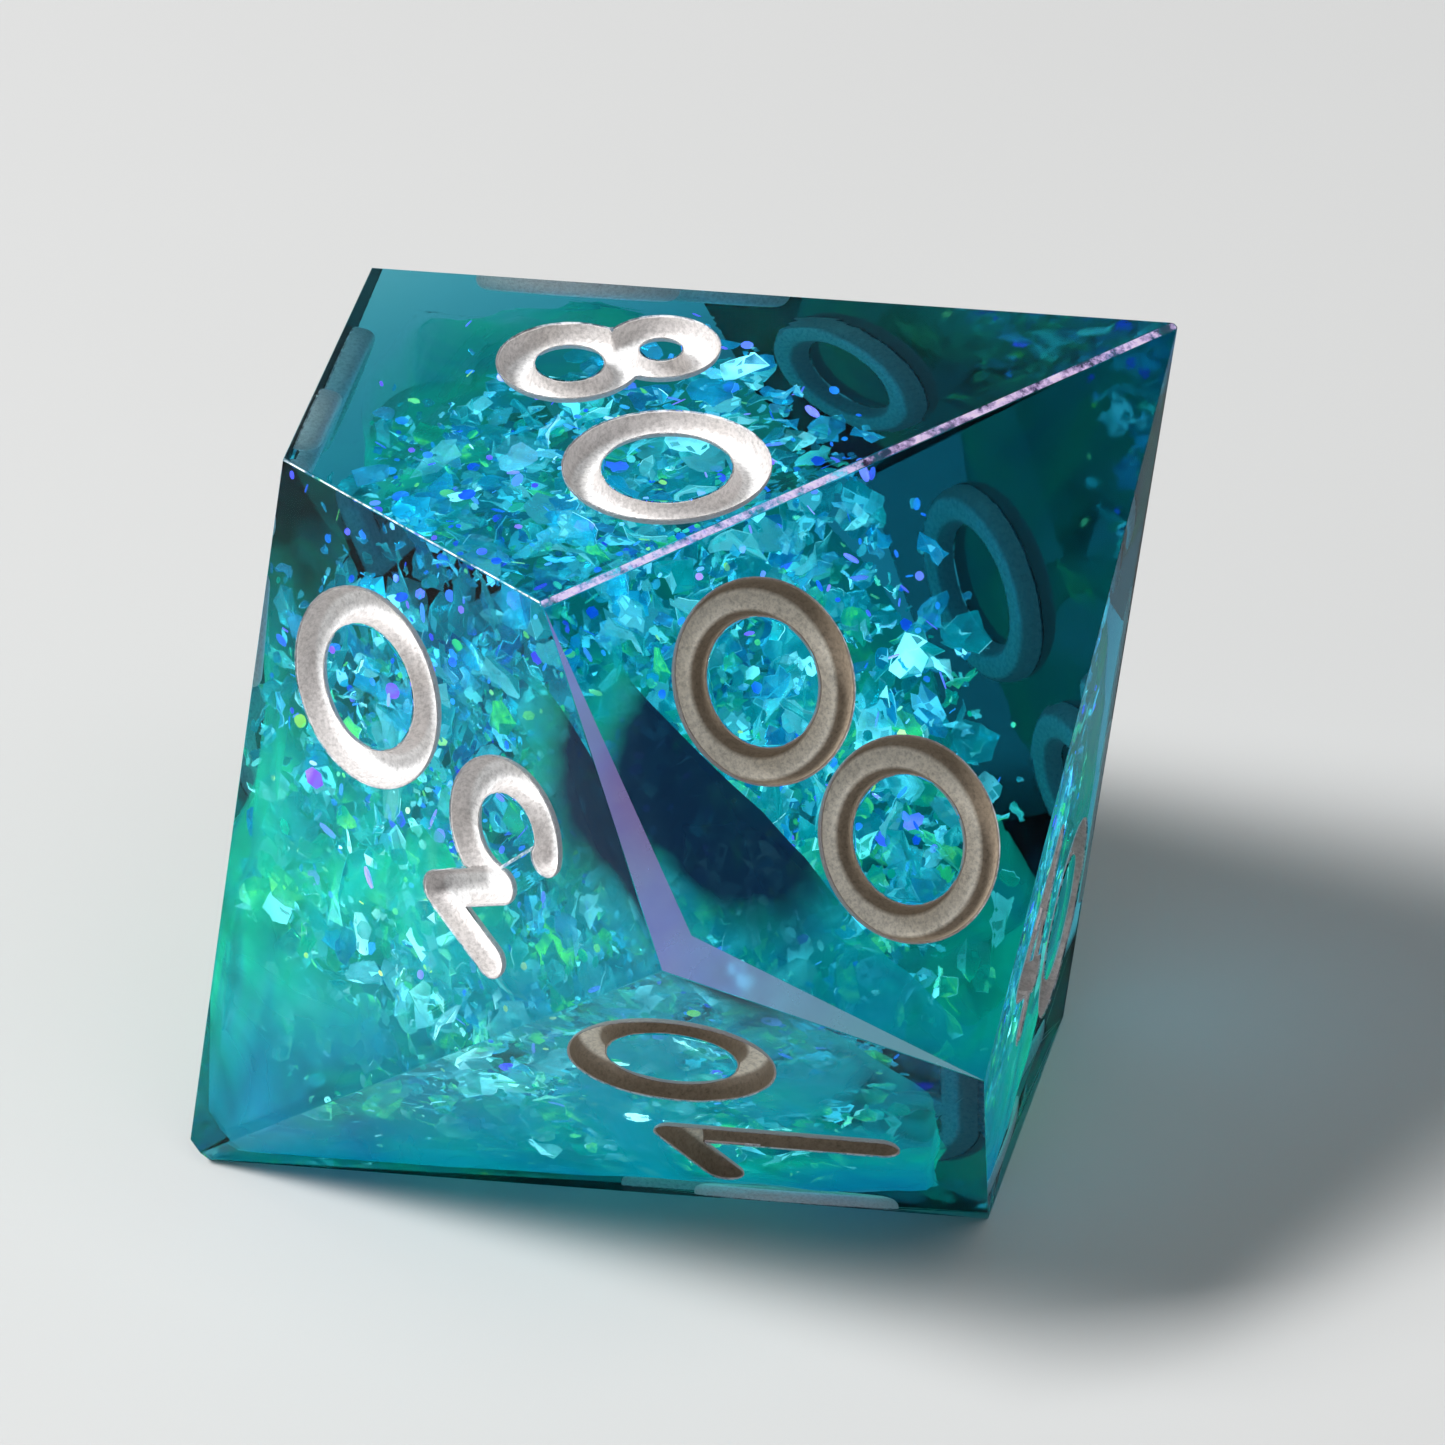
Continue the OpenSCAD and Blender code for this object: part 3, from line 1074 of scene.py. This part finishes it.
def pearlPigment():
    veil = Finish("pearlPigment")
    where = veil.add("TexCoord", output="Object")

    def away(point):
        return veil.add("VectorMath", {0: where, 1: point * mm}, output="Value", operation="DISTANCE")

    shadeCentre = places[cloud["pocketFace"]] @ Vector(cloud["darkAt"])
    first, second = (beltCorner(k) for k in pearl["clearEdge"])
    spots = veil.place(stretch=(1, 1.6, 0.7), turn=(0.3, 0.9, 0.4))
    flow = veil.noise(spots, pearl["flowScale"], detail=4, distortion=1.2)
    colour = veil.add("ValToRGB", {"Fac": flow}, stops=pearl["stops"])
    facing = places[pearl["blueFace"]].to_3x3().col[2]
    level = veil.add("VectorMath", {0: where, 1: facing}, output="Value", operation="DOT_PRODUCT")
    level = level - centre.dot(facing) * mm
    bluer = veil.spread(level + flow * pearl["blueWaver"], *pearl["blueEnds"], 0, pearl["blueShare"])
    colour = veil.blend(bluer, colour, opaque(pearl["blue"]))
    # painted shade: within a ball round this point the pigment turns near-black and covers thickly
    reach = cloud["darkReach"] * mm
    clear = veil.spread(away(shadeCentre) + flow * pearl["pocketShadeWaver"], reach, reach + pearl["pocketShadeBlur"])
    colour = veil.blend(clear, opaque(pearl["pocketShade"]), colour)
    wisp = veil.noise(veil.place(), pearl["wispScale"], detail=4, distortion=2)
    height = veil.add("SeparateXYZ", {0: where}, output=2)
    seen = veil.spread(wisp, 0.38, 0.62, *pearl["wispShare"])
    seen = seen * veil.spread(height, *pearl["topEnds"], 1, 0)
    seen = seen * veil.spread(away((first + second) / 2), *pearl["clearEnds"])
    # painted light: the pigment glows in its own colour, though it is no lamp
    return veil.close(veil.surface(
        Base_Color=colour, Roughness=pearl["rough"],
        Alpha=pearl["thickest"] - (pearl["thickest"] - seen) * clear,
        Emission_Color=colour, Emission_Strength=pearl["glow"],
    ))


cyanStops = [
    (0.0, (0.0, 0.22, 0.25)), (0.40, (0.0, 0.36, 0.37)), (0.5, (0.1, 0.7, 0.7)),
    (0.60, (0.0, 0.33, 0.38)), (1.0, (0.0, 0.22, 0.25)),
]
blueStops = [
    (0.0, (0.0, 0.16, 0.30)), (0.35, (0.0, 0.34, 0.55)), (0.6, (0.03, 0.62, 0.85)),
    (0.8, (0.0, 0.30, 0.50)), (1.0, (0.0, 0.16, 0.30)),
]
greenStops = [
    (0.0, (0.0, 0.26, 0.19)), (0.38, (0.0, 0.48, 0.28)), (0.5, (0.3, 1.0, 0.25)),
    (0.62, (0.0, 0.42, 0.30)), (1.0, (0.0, 0.26, 0.19)),
]
violetStops = [
    (0.0, (0.28, 0.08, 0.95)), (0.4, (0.6, 0.32, 1.0)), (0.7, (0.18, 0.2, 1.0)),
    (1.0, (0.28, 0.08, 0.95)),
]
deepBlueStops = [(0.0, (0.02, 0.1, 0.9)), (0.5, (0.1, 0.55, 1.0)), (1.0, (0.02, 0.1, 0.9))]
goldStops = [(0.0, (0.7, 0.8, 0.1)), (0.5, (1.0, 0.95, 0.4)), (1.0, (0.5, 0.9, 0.2))]

# clear: how much the thin places cover; burn: how far the painted glints (flares) burn out
filmLook = {"clear": 0.15, "burn": 1}
dotLook = {"clear": 1, "burn": 0.3}
finishes = {
    "film_cyan": iridescent("cyanFilm", cyanStops, glow=1.0, **filmLook),
    "film_blue": iridescent("blueFilm", blueStops, glow=0.9, **filmLook),
    "film_green": iridescent("greenFilm", greenStops, glow=1.05, **filmLook),
    "glitter_violet": iridescent("violetGlitter", violetStops, glow=1.3, **dotLook),
    "glitter_blue": iridescent("blueGlitter", deepBlueStops, glow=1.2, **dotLook),
    "glitter_green": iridescent("greenGlitter", greenStops, glow=1.3, **dotLook),
    "glitter_gold": iridescent("goldGlitter", goldStops, glow=1.2, **dotLook),
}

resinFinishes = [
    clearResin(),
    polishedBand(),
    # painted highlights on the rubbed edges and round the numerals
    rubbedEdgeAndHighlight("violetEdge", (0.55, 0.30, 0.95), (1.0, 0.80, 1.0)),
    rubbedEdgeAndHighlight("whiteEdge", (0.55, 0.62, 0.80), (1.0, 1.0, 1.0)),
]
addPiece("resinCasting", makeResin(), resinFinishes, "clear_resin", "resin_body")
print("resin casting made")

# a lit and a painted-shade copy of one silver paint; both also paint shade into the groove walls
paints = {
    "bright": silverPaint("brightSilver", (1.0, 1.0, 1.0), (0.68, 0.65, 0.64)),
    "inShade": silverPaint("shadedSilver", (1.0, 0.95, 0.83), (0.34, 0.29, 0.25)),
}
for k in range(faceCount):
    value = f"{faceValues[k]:02d}"
    paint = paints["inShade" if faceValues[k] in numeral["inShade"] else "bright"]
    for part, paths in facePaths(k).items():
        name = f"paint_{value}_{part}"
        addPiece(f"lining_{value}_{part}", paintMesh(name, k, paths), [paint], "silver_paint", name)
print("painted numerals made")

draws = random.Random(cloud["seed"])
for name, values in film.items():
    addPiece(name.replace("_", "Scraps_"), filmMesh(name, values, draws), [finishes[name]], name, name)
addPiece("pearlSwirl", swirlMesh(), [pearlPigment()], "film_green")
for name, values in glitter.items():
    addPiece(name.replace("_", "Dots_"), glitterMesh(name, values, draws), [finishes[name]], name, name)
print("film and glitter made")
